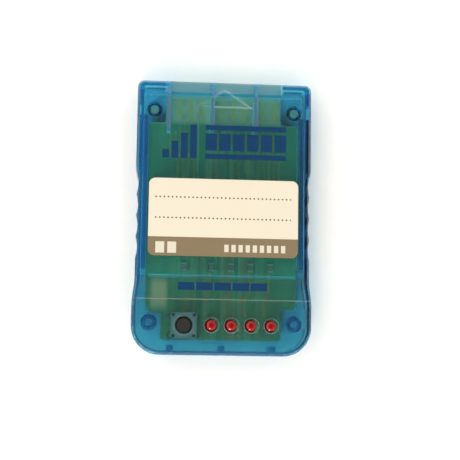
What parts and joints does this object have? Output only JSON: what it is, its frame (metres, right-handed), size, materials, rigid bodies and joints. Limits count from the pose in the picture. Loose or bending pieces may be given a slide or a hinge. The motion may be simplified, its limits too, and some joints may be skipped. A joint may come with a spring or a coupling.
{
  "type": "console memory card",
  "caption": "Flat clear blue game console memory card with scalloped grip sides, open connector bays, a sprung push button, a row of indicator LEDs and a paper label.",
  "frame": {"origin": "centre of the card's footprint, at the height of its underside", "axes": "+X across the card, +Y towards the connector end, +Z out of the label face"},
  "size_m": [0.0416, 0.064, 0.0081],
  "materials": {
    "clear_shell": "clear blue moulded plastic, polished",
    "board": "green solder mask on glass-fibre board",
    "label_paper": "matt coated paper",
    "screw_steel": "bronze-tinted plated steel",
    "switch_body": "black moulded plastic",
    "bright_steel": "bright rolled steel",
    "button_black": "black moulded plastic, satin",
    "tinned_lead": "tin plate",
    "chip_black": "black moulded epoxy",
    "capacitor_body": "tan fired ceramic",
    "resistor_body": "black overglaze on ceramic",
    "gold_contact": "gold flash over nickel",
    "led_red": "clear red epoxy, polished"
  },
  "bodies": {
    "card": {"bottom_shell": "clear_shell", "capacitor_1": "capacitor_body", "capacitor_2": "capacitor_body", "capacitor_ends": "tinned_lead", "case_screws": "screw_steel", "circuit_board": "board", "contact_1": "gold_contact", "contact_2": "gold_contact", "contact_3": "gold_contact", "contact_4": "gold_contact", "contact_5": "gold_contact", "contact_6": "gold_contact", "contact_7": "gold_contact", "contact_8": "gold_contact", "controller_chip": "chip_black", "controller_leads": "tinned_lead", "label": "label_paper", "led_leads_1": "tinned_lead", "led_leads_2": "tinned_lead", "led_leads_3": "tinned_lead", "led_leads_4": "tinned_lead", "led_lens_1": "led_red", "led_lens_2": "led_red", "led_lens_3": "led_red", "led_lens_4": "led_red", "memory_chip": "chip_black", "memory_leads": "tinned_lead", "resistor_1": "resistor_body", "resistor_2": "resistor_body", "resistor_3": "resistor_body", "resistor_4": "resistor_body", "resistor_5": "resistor_body", "resistor_ends": "tinned_lead", "switch_base": "switch_body", "switch_cover": "bright_steel", "switch_dome": "bright_steel", "switch_terminals": "tinned_lead", "top_shell": "clear_shell"},
    "button": {"switch_plunger": "button_black"}
  },
  "joints": [
    {"name": "button_press", "type": "slide", "parent": "card", "child": "button", "axis": [0, 0, -1], "range_m": [0, 0.00025], "stiffness_N_per_m": 6400, "deforming": ["switch_dome"]}
  ]
}
